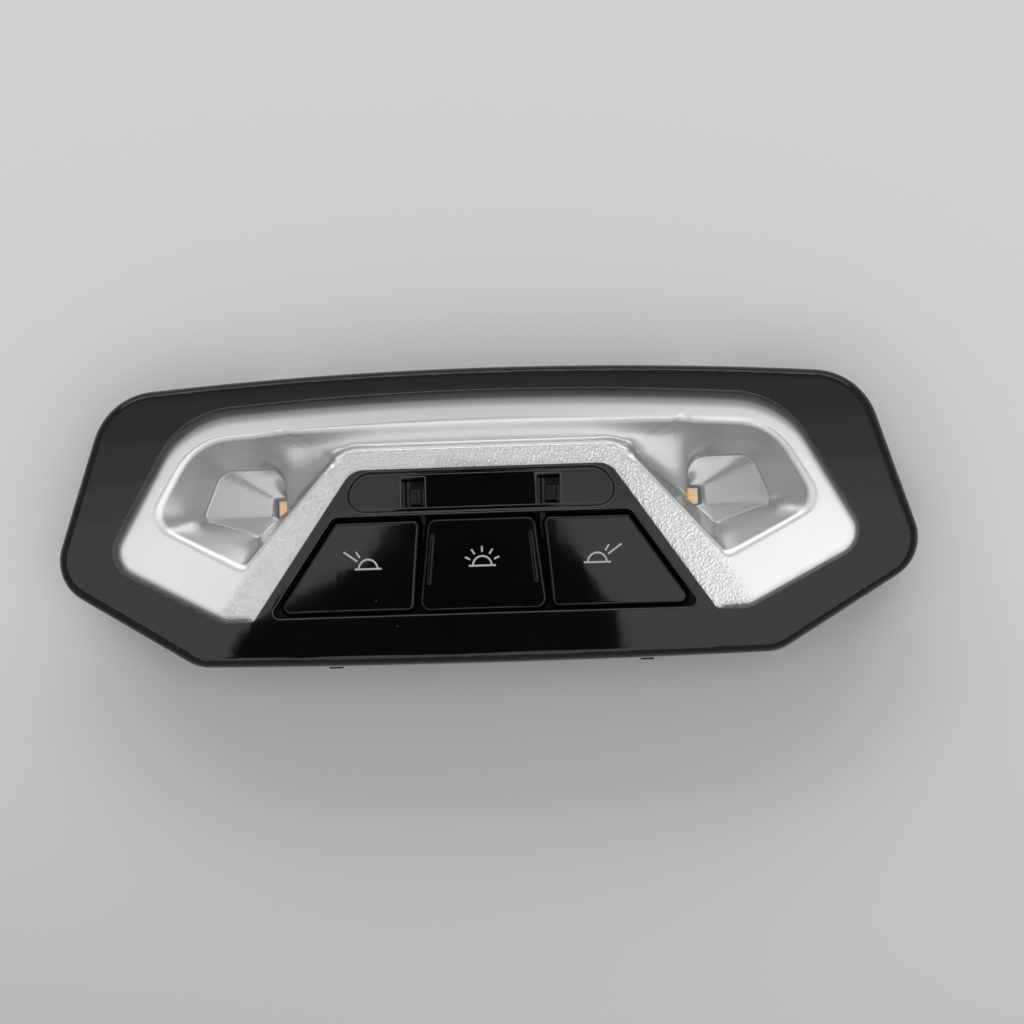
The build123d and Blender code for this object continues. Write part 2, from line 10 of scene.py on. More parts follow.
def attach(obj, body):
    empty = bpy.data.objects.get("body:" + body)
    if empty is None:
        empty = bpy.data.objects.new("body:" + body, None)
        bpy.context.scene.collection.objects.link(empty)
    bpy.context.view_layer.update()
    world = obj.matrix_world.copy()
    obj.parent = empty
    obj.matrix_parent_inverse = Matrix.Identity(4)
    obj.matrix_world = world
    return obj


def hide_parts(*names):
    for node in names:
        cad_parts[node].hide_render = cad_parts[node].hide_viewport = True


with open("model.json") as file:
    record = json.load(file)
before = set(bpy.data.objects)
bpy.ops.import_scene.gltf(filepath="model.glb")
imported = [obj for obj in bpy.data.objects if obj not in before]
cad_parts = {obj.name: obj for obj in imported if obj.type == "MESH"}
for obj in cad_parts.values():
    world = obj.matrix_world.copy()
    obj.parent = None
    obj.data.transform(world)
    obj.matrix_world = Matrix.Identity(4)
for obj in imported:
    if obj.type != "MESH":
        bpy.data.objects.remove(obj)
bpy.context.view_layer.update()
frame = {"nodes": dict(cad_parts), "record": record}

scene = bpy.context.scene
nodes = frame["nodes"]

MM = 0.001
Y_SHIFT = 0.7
CROWN_Z, CROWN_RX, CROWN_RY = 26.3, 838.0, 454.0
REFL_DEPTH = 2.8


def front_z(x, y, depth=0.0):
    """Front surface in mm, before Y_SHIFT."""
    ry = CROWN_RY - depth
    rho = CROWN_RX - CROWN_RY + np.sqrt(ry * ry - y * y)
    return CROWN_Z - CROWN_RX + np.sqrt(rho * rho - x * x)


# ---- materials --------------------------------------------------------------------
class Graph:
    """Short hand for the nodes of one material."""

    def __init__(self, mat):
        self.nt = mat.node_tree
        self.shader = self.nt.nodes["Principled BSDF"]
        self.place = self.nt.nodes.new("ShaderNodeTexCoord").outputs["Object"]

    def node(self, kind, links=None, **sockets):
        n = self.nt.nodes.new(kind)
        for k, v in sockets.items():
            n.inputs[k.replace("_", " ")].default_value = v
        for k, v in (links or {}).items():
            self.nt.links.new(v, n.inputs[k])
        return n

    def math(self, op, a, b=None, clamp=False):
        n = self.nt.nodes.new("ShaderNodeMath")
        n.operation = op
        n.use_clamp = clamp
        for i, v in enumerate((a, b)):
            if v is None:
                continue
            if isinstance(v, (int, float)):
                n.inputs[i].default_value = v
            else:
                self.nt.links.new(v, n.inputs[i])
        return n.outputs[0]

    def noise(self, scale, detail=2.0, stretch=None):
        place = self.place
        if stretch:
            place = self.node("ShaderNodeMapping", {"Vector": place}, Scale=stretch).outputs[0]
        return self.node("ShaderNodeTexNoise", {"Vector": place}, Scale=scale, Detail=detail).outputs["Fac"]

    def ramp(self, value, lo, hi, a, b):
        n = self.node("ShaderNodeMapRange", {"Value": value}, From_Min=lo, From_Max=hi, To_Min=a, To_Max=b)
        return n.outputs["Result"]

    def mix(self, fac, a, b):
        n = self.nt.nodes.new("ShaderNodeMix")
        n.data_type = "RGBA"
        self.nt.links.new(fac, n.inputs[0])
        for i, v in ((6, a), (7, b)):
            if isinstance(v, tuple):
                n.inputs[i].default_value = (*v, 1.0)
            else:
                self.nt.links.new(v, n.inputs[i])
        return n.outputs[2]

    def specks(self, share, scale=420.0):
        cell = self.node("ShaderNodeTexVoronoi", {"Vector": self.place}, Scale=scale)
        pick = self.node("ShaderNodeSeparateColor", {"Color": cell.outputs["Color"]}).outputs[0]
        return self.math("MULTIPLY", self.ramp(cell.outputs["Distance"], 0.025, 0.065, 1.0, 0.0), self.math("GREATER_THAN", pick, 1.0 - share))

    def to(self, socket, value):
        self.nt.links.new(value, self.shader.inputs[socket])


def material(name, color, rough, metallic=0.0, ior=1.5, tone=0.08, tone_scale=90.0, smear=0.18, smear_scale=70.0,
             grain=0.5, grain_scale=2600.0, grain_depth=0.0002, stretch=None, dust=0.0, **extra):
    """Surface with uneven tone and gloss, a fine grain, and dust specks where asked for."""
    m = bpy.data.materials.new(name)
    m.use_nodes = True
    g = Graph(m)
    g.shader.inputs["Base Color"].default_value = (*color, 1.0)
    g.shader.inputs["Metallic"].default_value = metallic
    g.shader.inputs["IOR"].default_value = ior
    for k, v in extra.items():
        g.shader.inputs[k.replace("_", " ")].default_value = v
    g.shader.inputs["Roughness"].default_value = rough
    gloss = g.ramp(g.noise(smear_scale, 2.0, stretch), 0.3, 0.7, rough * (1 - smear), rough * (1 + smear)) if rough and smear else None
    if tone:
        low = tuple(c * (1 - tone) for c in color)
        high = tuple(min(1.0, c * (1 + tone)) for c in color)
        paint = g.mix(g.ramp(g.noise(tone_scale, 2.0, stretch), 0.3, 0.7, 0.0, 1.0), low, high)
        if dust:
            speck = g.specks(dust)
            paint = g.mix(speck, paint, (0.11, 0.11, 0.115))
            gloss = g.math("ADD", gloss, g.math("MULTIPLY", speck, 0.35))
        g.to("Base Color", paint)
    if gloss:
        g.to("Roughness", gloss)
    if grain:
        bump = g.node("ShaderNodeBump", {"Height": g.noise(grain_scale, 1.0, stretch)}, Strength=grain, Distance=grain_depth)
        g.to("Normal", bump.outputs["Normal"])
    return m


def gloss_black(name, color, rough, dust=0.16):
    return material(name, color, rough, tone=0.2, tone_scale=40.0, smear=0.35, smear_scale=45.0, grain=0.05, grain_scale=320.0,
                    grain_depth=0.00005, dust=dust, Specular_Tint=(0.93, 0.93, 1.0, 1.0))


def steel(name, color, rough, stretch):
    return material(name, color, rough, metallic=1.0, tone=0.1, tone_scale=300.0, smear=0.3, smear_scale=300.0, grain=0.35,
                    grain_scale=500.0, grain_depth=0.00006, stretch=stretch)


mats = {
    "bezel_black": gloss_black("bezel_black", (0.0035, 0.0035, 0.0045), 0.04),
    "clear_plastic": material("clear_plastic", (1.0, 1.0, 1.0), 0.0, ior=1.49, tone=0.0, grain=0.0, Transmission_Weight=1.0),
    "silver_lacquer": material("silver_lacquer", (0.86, 0.865, 0.87), 0.28, metallic=0.92),
    "cover_black": gloss_black("cover_black", (0.003, 0.003, 0.0038), 0.04),
    "guide_grey": material("guide_grey", (0.06, 0.06, 0.058), 0.12, tone=0.15, grain=0.2, grain_scale=900.0, grain_depth=0.00005),
    "button_black": gloss_black("button_black", (0.003, 0.003, 0.0038), 0.05, dust=0.1),
    "pictogram_white": material("pictogram_white", (0.55, 0.56, 0.58), 0.4, tone=0.05, grain=0.2, grain_depth=0.00005),
    "frame_black": material("frame_black", (0.006, 0.006, 0.006), 0.5, tone=0.15),
    "board_green": material("board_green", (0.006, 0.024, 0.012), 0.4, tone=0.3, tone_scale=500.0, grain=0.3, grain_scale=1500.0,
                            grain_depth=0.0001, stretch=(1.0, 3.0, 1.0)),
    "led_white": material("led_white", (0.95, 0.95, 0.92), 0.45, tone=0.03, grain=0.2, grain_depth=0.00005),
    # the LED phosphor glows faintly through emission, a painted light: the LED is not lit
    "led_orange": material("led_orange", (1.0, 0.55, 0.2), 0.4, tone=0.06, tone_scale=1500.0, grain=0.3, grain_scale=6000.0,
                           grain_depth=0.00005, Emission_Color=(1.0, 0.55, 0.2, 1.0), Emission_Strength=0.3),
    "switch_black": material("switch_black", (0.015, 0.015, 0.015), 0.5),
    "chip_black": material("chip_black", (0.012, 0.012, 0.012), 0.5, grain_scale=4500.0),
    "component_ceramic": material("component_ceramic", (0.40, 0.30, 0.20), 0.5, tone=0.25, tone_scale=700.0),
    "connector_plastic": material("connector_plastic", (0.03, 0.03, 0.03), 0.5),
    "pin_brass": steel("pin_brass", (0.72, 0.56, 0.26), 0.25, (1.0, 8.0, 1.0)),
    "housing_grey": material("housing_grey", (0.022, 0.022, 0.024), 0.55, tone=0.14, smear=0.25, grain=0.8, grain_scale=2200.0,
                             grain_depth=0.00028),
    "clip_steel": steel("clip_steel", (0.52, 0.52, 0.51), 0.3, (12.0, 1.0, 1.0)),
    "screw_steel": steel("screw_steel", (0.50, 0.50, 0.49), 0.35, (6.0, 6.0, 1.0)),
}

# the window is polished, with a little dust on it
g = Graph(mats["clear_plastic"])
g.to("Base Color", g.mix(g.specks(0.06), (1.0, 1.0, 1.0), (0.7, 0.7, 0.71)))

# silver lacquer of the reflector: leather grain on the band beside and above the button panel,
# fading out towards the legs; lips painted near white as a painted highlight on their rounded edges; smoother metal in
# the wells, satin in the middle channel; painted shade, darkening the lacquer, where the rim rolls down under the
# window's edge
g = Graph(mats["silver_lacquer"])
xyz = g.node("ShaderNodeSeparateXYZ", {0: g.place})
ax = g.math("ABSOLUTE", xyz.outputs["X"])
rim_shade, trough = (g.nt.nodes.new("ShaderNodeAttribute") for _ in range(2))
rim_shade.attribute_name, trough.attribute_name = "rim_shade", "trough"
lip = g.ramp(trough.outputs["Fac"], 0.0, 0.22, 0.0, 1.0)
well = g.ramp(trough.outputs["Fac"], 0.45, 0.85, 0.0, 1.0)
only_lip = g.math("SUBTRACT", lip, well, clamp=True)
satin = g.ramp(ax, 0.027, 0.045, 1.0, 0.0)
# painted shade: the rim_shade attribute darkens the lacquer towards the window's edge and on the skirt
plate = g.mix(rim_shade.outputs["Fac"], (0.845, 0.85, 0.855), (0.045, 0.048, 0.058))
cove = g.mix(satin, (0.52, 0.52, 0.525), (0.72, 0.712, 0.705))
# the lips are painted near white, a painted highlight standing in for light caught on their rounded edges
g.to("Base Color", g.mix(well, g.mix(lip, plate, (0.97, 0.97, 0.97)), cove))
g.to("Metallic", g.math("ADD", g.math("SUBTRACT", 0.92, g.math("MULTIPLY", only_lip, 0.32)), g.math("MULTIPLY", well, 0.08)))
gloss = g.math("ADD", g.math("MULTIPLY", only_lip, 0.06), 0.28)
g.to("Roughness", g.math("ADD", gloss, g.math("MULTIPLY", well, g.math("SUBTRACT", g.math("MULTIPLY", satin, 0.1), 0.02))))
yy = g.math("SUBTRACT", xyz.outputs["Y"], Y_SHIFT * MM - 0.01815)
edge = g.math("SUBTRACT", 0.0481, g.math("MULTIPLY", yy, 0.695))
dist = g.math("MULTIPLY", g.math("SUBTRACT", ax, edge), 0.821)
side_mask = g.math("MULTIPLY", g.math("SUBTRACT", 0.0092, dist), 300.0, clamp=True)
top_mask = g.math("MULTIPLY", g.math("SUBTRACT", 0.0150 + Y_SHIFT * MM, xyz.outputs["Y"]), 2000.0, clamp=True)
cells = g.node("ShaderNodeTexVoronoi", {"Vector": g.place}, Scale=1800.0).outputs["Distance"]
height = g.math("ADD", cells, g.noise(850.0, 2.0))
height = g.math("MULTIPLY", height, g.math("MULTIPLY", g.math("MULTIPLY", side_mask, top_mask), g.math("SUBTRACT", 1.0, lip)))
height = g.math("ADD", height, g.math("MULTIPLY", g.noise(5200.0, 1.0), 0.03))
bump = g.node("ShaderNodeBump", {"Height": height}, Strength=0.65, Distance=0.00013)
g.to("Normal", bump.outputs["Normal"])

slot_of = {s["node"]: s["material_slot"] for s in frame["record"]["subparts"]}
for name, obj in nodes.items():
    obj.data.materials.clear()
    obj.data.materials.append(mats[slot_of[name]])

# large gloss faces keep their own normals right up to the rounded edges
for name in ("front_bezel", "strip_cover", "left_button", "centre_button", "right_button"):
    even_out = nodes[name].modifiers.new("edge_normals", "WEIGHTED_NORMAL")
    even_out.mode = "FACE_AREA"
    even_out.weight = 50
    even_out.keep_sharp = True

# the window is moulded against the black bezel: its side walls look black from inside
window = nodes["clear_window"]
window.data.materials.append(mats["bezel_black"])
for p in window.data.polygons:
    if abs(p.normal.z) < 0.6:
        p.material_index = 1
window.visible_shadow = False

# ---- reflector: own mesh with rounded lips, wells, pockets and rolled rim ------------
WELL_PTS = [(33.3, 11.75, 0.8), (46.8, 19.02, 2.0), (64.36, 17.96, 14.0), (74.91, -0.04, 4.8), (53.93, -11.11, 2.0)]
POCKET_PTS = [(44.65, 2.2, 1.0), (45.1, 11.5, 4.2), (59.5, 11.4, 4.4), (64.0, 0.6, 1.6), (50.7, -3.6, 0.8)]
HOLE_PTS = [(44.7, 2.2, 0.3), (44.75, 4.62, 0.4), (47.3, 4.62, 0.5), (47.3, 0.75, 0.5), (46.1, 0.65, 0.25)]
POCKET_Z, FLOOR_Z, HOLE_Z = 15.2, 13.0, 12.15
STEP = 0.45
LIP_K = 0.85
REFL_OVER, REFL_R, SKIRT_Z = 0.9, 1.8, 14.6


def corner_data(pts):
    out = []
    n = len(pts)
    for i in range(n):
        x, y, r = pts[i]
        ax, ay = pts[i - 1][0] - x, pts[i - 1][1] - y
        bx, by = pts[(i + 1) % n][0] - x, pts[(i + 1) % n][1] - y
        la, lb = math.hypot(ax, ay), math.hypot(bx, by)
        ax, ay, bx, by = ax / la, ay / la, bx / lb, by / lb
        half = math.acos(max(-1.0, min(1.0, ax * bx + ay * by))) / 2
        mx, my = ax + bx, ay + by
        k = math.hypot(mx, my)
        t, d = r / math.tan(half), r / math.sin(half)
        out.append(((x + ax * t, y + ay * t), (x + bx * t, y + by * t), (x + mx / k * d, y + my / k * d), r))
    return out


def arc(c, r, p, q, n):
    a0 = math.atan2(p[1] - c[1], p[0] - c[0])
    a1 = math.atan2(q[1] - c[1], q[0] - c[0])
    d = (a1 - a0 + math.pi) % (2 * math.pi) - math.pi
    return [(c[0] + r * math.cos(a0 + d * k / n), c[1] + r * math.sin(a0 + d * k / n)) for k in range(n)]


def line(p, q, n):
    return [(p[0] + (q[0] - p[0]) * k / n, p[1] + (q[1] - p[1]) * k / n) for k in range(n)]


def ring(pts, counts):
    cs = corner_data(pts)
    out = []
    for i, (a, b, c, r) in enumerate(cs):
        nl, na = counts[i]
        out += line(cs[i - 1][1], a, nl) + arc(c, r, a, b, na)
    return np.array(out)


def smin(a, b, k):
    h = np.maximum(k - np.abs(a - b), 0.0) / np.maximum(k, 1e-9)
    return np.minimum(a, b) - h * h * k * 0.25


def crown(x, y):
    return front_z(x, y, REFL_DEPTH)


def ridge_y(ax):
    """Lower edge of the channel: level in the middle, rounded, then down along the button panel."""
    bend = 14.4 - (8.0 - np.sqrt(np.maximum(64.0 - (np.clip(ax, 27.3, 33.3) - 27.3) ** 2, 0.0)))
    return np.where(ax <= 33.3, bend, 11.69 - (ax - 33.3) * 1.1077)


def base(x, y):
    """Crown with the middle channel, and how far the channel lies below the crown."""
    ax = np.abs(x)
    yb = ridge_y(ax)
    yt = 20.2 - 5.4e-4 * x * x
    e = yt - y
    w = yt - yb
    fade = np.interp(ax, [0.0, 46.5, 51.5], [1.0, 1.0, 0.0])
    t = np.clip((ax - 22.0) / 24.0, 0.0, 1.0)
    deep = 1.9 + 1.5 * t * t * (3.0 - 2.0 * t)
    u = e / np.minimum(w, 5.9)
    dep = np.where(u > 0.0, deep * (1.0 - np.clip(1.0 - u, 0.0, 1.0) ** 1.8), 1.8 * deep * u)
    dep = smin(dep, 1.3 * (w - e), 0.7) * fade
    c = crown(x, y)
    ch = np.where(fade > 0.003, c - dep, c + 50.0)
    return smin(c, ch, 0.45 * fade + 0.01), np.maximum(c - ch, 0.0)


verts, faces = [], []


def add_points(xs, ys, zs):
    start = len(verts)
    for x, y, z in zip(xs, ys, zs):
        verts.append((x * MM, (y + Y_SHIFT) * MM, z * MM))
    return list(range(start, start + len(xs)))


def quads(a, b, flip):
    n = len(a)
    for i in range(n):
        j = (i + 1) % n
        f = (a[i], a[j], b[j], b[i])
        faces.append(f[::-1] if flip else f)


counts = []
for i, (a, b, c, r) in enumerate(corner_data(WELL_PTS)):
    prev = corner_data(WELL_PTS)[i - 1][1]
    counts.append((max(6, int(math.dist(prev, a) / 0.55)), max(12, int(r * 1.2 / 0.35))))
W, P, H = ring(WELL_PTS, counts), ring(POCKET_PTS, counts), ring(HOLE_PTS, counts)
zw0, zw1 = float(crown(31.0, 5.0)), float(crown(75.0, 5.0))
ZW = zw0 + (zw1 - zw0) * (W[:, 0] - 31.0) / 44.0
closing = counts[0][0] + counts[0][1]
for i in range(closing - counts[0][1] // 2, closing + counts[1][0] + counts[1][1] // 2):
    ZW[i] = min(ZW[i], float(base(W[i, 0], W[i, 1])[0]))
span = np.linalg.norm(P - W, axis=1)
dirn = (P - W) / span[:, None]
slope = (ZW - POCKET_Z) / span
wt = np.roll(W, -1, axis=0) - np.roll(W, 1, axis=0)
wt /= np.linalg.norm(wt, axis=1)[:, None]
w_out = np.stack([-wt[:, 1], wt[:, 0]], axis=1)
across = -(dirn * w_out).sum(axis=1)
lip_slope = slope / np.maximum(across, 0.3)


def soften(values, rounds):
    """Evens out a ring of values along the ring."""
    for _ in range(rounds):
        values = (np.roll(values, 1, axis=0) + 2 * values + np.roll(values, -1, axis=0)) / 4
    return values


ZW = soften(ZW, 10)
lip_k = soften(LIP_K * np.clip(lip_slope, 1.0, 1.8), 40)
well_loops = {}
even = []
for side in (1, -1):
    rings = []
    flip = side > 0
    for s in (-1.5, -1.25, -1.05, -0.88, -0.72, -0.58, -0.45, -0.33, -0.22, -0.11, 0.0, 0.11, 0.22, 0.34, 0.47, 0.62, 0.8, 1.0, 1.25):
        q = W + dirn * s if s > 0 else W - w_out * s
        z = ZW - slope * s if s > 0 else ZW - lip_slope * s
        b, low = base(q[:, 0], q[:, 1])
        k = lip_k + (0.25 - lip_k) * np.clip(low / 0.7, 0.0, 1.0)
        rings.append((q, smin(b, z, k)))
    for f in np.linspace(0.0, 1.0, 13)[1:]:
        s = 1.25 + (span - 1.25) * f
        q = W + dirn * s[:, None]
        z = ZW - slope * s
        b, low = base(q[:, 0], q[:, 1])
        k = (lip_k + (0.25 - lip_k) * np.clip(low / 0.7, 0.0, 1.0)) * (1.0 - f)
        n_soft = int(150 * min(f, 1.0 - f) * 2)
        rings.append((soften(q, n_soft), soften(smin(b, z, k), n_soft)))
    ph = np.linalg.norm(H - P, axis=1)
    pd = (H - P) / ph[:, None]
    room = np.minimum(1.0, ph * 0.5 / 0.2)
    for ins, dz in ((0.03, 0.015), (0.07, 0.06), (0.11, 0.14), (0.14, 0.26), (0.17, STEP - 0.06), (0.2, STEP)):
        rings.append((P + pd * (ins * room)[:, None], np.full(len(P), POCKET_Z - dz)))
    q0 = P + pd * (0.2 * room)[:, None]
    for f in (0.03, 0.08, 0.18, 0.32, 0.48, 0.64, 0.8, 0.92, 1.0):
        n_soft = int(420 * min(f * 1.5, 1.0 - f)) if f < 1.0 else 0
        rings.append((soften(q0 + (H - q0) * f, max(n_soft, 0)), POCKET_Z - STEP + (FLOOR_Z - POCKET_Z + STEP) * np.full(len(P), f)))
    rings.append((H, np.full(len(P), HOLE_Z)))
    ids = [add_points(side * q[:, 0], q[:, 1], z) for q, z in rings]
    for r in range(len(ids)):
        if 13 <= r <= 29 or 39 <= r <= 44:
            even.append((ids[r - 1], ids[r], ids[r + 1]))
    for a, b in zip(ids, ids[1:]):
        quads(a, b, flip)
    well_loops[side] = (ids[0], rings[0][0] * np.array([side, 1.0]))

grid = np.array(verts)
for _ in range(14):
    moved = grid.copy()
    for before, here, after in even:
        h = grid[here]
        moved[here] = 0.5 * h + 0.125 * (np.roll(h, 1, axis=0) + np.roll(h, -1, axis=0) + grid[before] + grid[after])
    grid = moved
verts = [tuple(v) for v in grid]

# rim loop of the window opening
yc_top = 26.9 - (67.1 ** 2 + 2.84 ** 2) / (2 * 2.84)
r_top = 26.9 - yc_top
A, B = np.array((67.1, 24.06)), np.array((85.76, -8.95))
t = (B - A) / np.linalg.norm(B - A)
nrm = np.array((t[1], -t[0]))
if nrm @ (np.array((0.0, 0.0)) - A) < 0:
    nrm = -nrm
o = A + nrm * 20.0 - np.array((0.0, yc_top))
bq, cq = o @ t, o @ o - (r_top - 20.0) ** 2
roots = [-bq + s * math.sqrt(bq * bq - cq) for s in (1, -1)]
k0 = min(roots, key=abs)
fc = A + nrm * 20.0 + t * k0
tp_line = fc - nrm * 20.0
away = (fc - np.array((0.0, yc_top))) / np.linalg.norm(fc - np.array((0.0, yc_top)))
tp_top = fc + away * 20.0
half = []
n_top = 110
ang_end = math.atan2(tp_top[0], tp_top[1] - yc_top)
half += [(r_top * math.sin(ang_end * k / n_top), yc_top + r_top * math.cos(ang_end * k / n_top)) for k in range(n_top)]
half += arc(fc, 20.0, tp_top, tp_line, 40)
tail = [(float(tp_line[0]), float(tp_line[1]), 0.001), (85.76, -8.95, 6.5), (58.8, -23.1, 6.0), (51.55, -23.1, 1.5), (28.7, 9.75, 5.0), (0.0, 9.75, 0.001)]
cs = corner_data(tail)
for i in range(1, 5):
    a, b, c, r = cs[i]
    prev = (tail[0][0], tail[0][1]) if i == 1 else cs[i - 1][1]
    half += line(prev, a, max(6, int(math.dist(prev, a) / 0.6))) + arc(c, r, a, b, max(12, int(r * 1.5 / 0.4)))
half += line(cs[4][1], (0.0, 9.75), 44)
half.append((0.0, 9.75))
left = [(-x, y) for x, y in half[-2:0:-1]]
WIN = np.array(half + left)
nxt, prv = np.roll(WIN, -1, axis=0), np.roll(WIN, 1, axis=0)
tang = nxt - prv
tang /= np.linalg.norm(tang, axis=1)[:, None]
win_out = np.stack([-tang[:, 1], tang[:, 0]], axis=1)
roll_w = np.where((np.abs(WIN[:, 0]) < 52.3) & (WIN[:, 1] < 12), 0.0, 1.0)
roll_r = np.where(roll_w > 0.5, 3.2 + 1.6 * np.clip((win_out[:, 1] - 0.45) / 0.5, 0.0, 1.0), 1.8)
for _ in range(10):
    roll_w = (np.roll(roll_w, 1) + roll_w * 2 + np.roll(roll_w, -1)) / 4
    roll_r = (np.roll(roll_r, 1) + roll_r * 2 + np.roll(roll_r, -1)) / 4
rim = []
rim_pts = []
RIM_T = (0.0, 0.03, 0.08, 0.15, 0.23, 0.32, 0.42, 0.53, 0.65, 0.78, 0.9, 1.0)
for t in RIM_T:
    q = WIN + win_out * (REFL_OVER - roll_r * t)[:, None]
    drop = roll_r * 0.42 * (1.0 - t) ** 2.6
    b, low = base(q[:, 0], q[:, 1])
    rim.append(add_points(q[:, 0], q[:, 1], b - roll_w * drop))
    rim_pts.append(q)
skirt = add_points(rim_pts[0][:, 0], rim_pts[0][:, 1], np.full(len(WIN), SKIRT_Z))
quads(skirt, rim[0], True)
for a, b in zip(rim, rim[1:]):
    quads(a, b, True)


# band between the rim and the wells
def inside(poly, pts):
    x, y = pts[:, 0], pts[:, 1]
    res = np.zeros(len(pts), bool)
    x0, y0 = poly[:, 0], poly[:, 1]
    x1, y1 = np.roll(x0, -1), np.roll(y0, -1)
    for a, b, c, d in zip(x0, y0, x1, y1):
        cond = (b > y) != (d > y)
        if cond.any():
            xi = a + (y - b) * (c - a) / (d - b + 1e-15)
            res ^= cond & (x < xi)
    return res


def gap(poly, pts):
    best = np.full(len(pts), 1e9)
    for a, b in zip(poly, np.roll(poly, -1, axis=0)):
        e = b - a
        tt = np.clip(((pts - a) @ e) / (e @ e), 0, 1)
        best = np.minimum(best, np.linalg.norm(pts - a - tt[:, None] * e, axis=1))
    return best


pts = []
for x in np.arange(-53.2, 53.3, 0.7):
    ax = abs(x)
    yb = float(ridge_y(np.array(min(ax, 33.3))))
    yt = 20.2 - 5.4e-4 * x * x
    for u in (-0.3, -0.22, -0.16, -0.11, -0.07, -0.035, 0, 0.035, 0.07, 0.11, 0.16, 0.22, 0.3, 0.4, 0.5, 0.6, 0.7, 0.78, 0.84, 0.89, 0.93, 0.965, 1.0, 1.035, 1.07, 1.11, 1.16, 1.22, 1.3):
        pts.append((x, yb + u * (yt - yb)))
for x in np.arange(-84, 84.1, 2.0):
    for y in np.arange(-24, 27, 2.0):
        if not (abs(x) < 53.0 and float(ridge_y(np.array(min(abs(x), 33.3)))) - 2.4 < y < 22.2):
            pts.append((x, y))
pts = np.array(pts)
outer = rim_pts[-1]
keep = inside(outer, pts) & (gap(outer, pts) > 0.4)
for side in (1, -1):
    lp = well_loops[side][1]
    keep &= ~inside(lp, pts) & (gap(lp, pts) > 0.3)
pts = pts[keep]
ids = list(rim[-1])
coords = [tuple(p) for p in outer]
edges = [(i, (i + 1) % len(outer)) for i in range(len(outer))]
for side in (1, -1):
    s0 = len(coords)
    lid, lp = well_loops[side]
    ids += lid
    coords += [tuple(p) for p in lp]
    edges += [(s0 + i, s0 + (i + 1) % len(lp)) for i in range(len(lp))]
b, low = base(pts[:, 0], pts[:, 1])
ids += add_points(pts[:, 0], pts[:, 1], b)
coords += [tuple(p) for p in pts]
res = delaunay_2d_cdt([Vector(c) for c in coords], edges, [], 0, 1e-5)
out_co, out_faces, orig = res[0], res[2], res[3]
cen = np.array([[sum(out_co[i][k] for i in f) / 3 for k in (0, 1)] for f in out_faces])
ok = inside(outer, cen)
for side in (1, -1):
    ok &= ~inside(well_loops[side][1], cen)
used = {}
for f, good in zip(out_faces, ok):
    if good:
        for i in range(3):
            pair = frozenset((f[i], f[i - 1]))
            used[pair] = used.get(pair, 0) + 1
for k, f in enumerate(out_faces):
    o = sorted((orig[i][0] if len(orig[i]) else len(coords), i) for i in f)
    if ok[k] and o[2][0] < len(outer) and o[2][0] - o[0][0] == 2 and used[frozenset((o[0][1], o[2][1]))] == 1:
        ok[k] = False
for f, good in zip(out_faces, ok):
    if good and all(len(orig[i]) for i in f):
        g = tuple(ids[orig[i][0]] for i in f)
        p = [Vector(verts[i]) for i in g]
        if (p[1] - p[0]).cross(p[2] - p[0]).z < 0:
            g = g[::-1]
        faces.append(g)

pairs = np.array(sorted({tuple(sorted((f[i - 1], f[i]))) for f in faces for i in range(len(f))}))
grid = np.array(verts)
count = np.bincount(pairs.ravel(), minlength=len(grid))
near = np.hypot(np.abs(grid[:, 0]) / MM - 33.3, grid[:, 1] / MM - Y_SHIFT - 11.75)
pull = np.clip(1.6 - near / 2.4, 0.0, 1.0) * 0.8
for _ in range(20):
    total = np.bincount(pairs[:, 0], grid[pairs[:, 1], 2], len(grid)) + np.bincount(pairs[:, 1], grid[pairs[:, 0], 2], len(grid))
    grid[:, 2] += pull * (total / np.maximum(count, 1) - grid[:, 2])
verts = [tuple(v) for v in grid]

mesh = bpy.data.meshes.new("reflector")
mesh.from_pydata(verts, [], faces)
mesh.materials.append(mats["silver_lacquer"])
mesh.polygons.foreach_set("use_smooth", [True] * len(faces))
# painted shade along the rolled rim and on the skirt, stored in the rim_shade attribute
shade = np.zeros(len(verts))
shade[skirt] = 1.0
grid = np.array(verts) / MM
sunk = np.maximum(crown(grid[:, 0], grid[:, 1] - Y_SHIFT) - grid[:, 2], 0.0)
sunk[skirt] = 0.0
for q, ring_ids in zip(rim_pts, rim):
    sunk[ring_ids] = np.maximum(crown(q[:, 0], q[:, 1]) - base(q[:, 0], q[:, 1])[0], 0.0)
mesh.attributes.new("trough", "FLOAT", "POINT").data.foreach_set("value", sunk)
for t, ring_ids in zip(RIM_T, rim):
    shade[ring_ids] = roll_w * (1.0 - t) ** 0.9
mesh.attributes.new("rim_shade", "FLOAT", "POINT").data.foreach_set("value", shade)
mesh.update()
reflector = bpy.data.objects.new("reflector", mesh)
scene.collection.objects.link(reflector)
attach(reflector, "unit")
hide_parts("reflector_trim")


# ---- thin rounded edges that catch the light; their grey colour is a painted highlight ---
def closed_loop(pts, top_y=None):
    cs = corner_data(pts)
    out = []
    for i, (a, b, c, r) in enumerate(cs):
        prev = cs[i - 1][1]
        out += line(prev, a, max(4, int(math.dist(prev, a) / 0.8))) + arc(c, r, a, b, 14)
    return np.array(out)


def mirrored(pts):
    return pts + [(-x, y, r) for x, y, r in pts[::-1]]


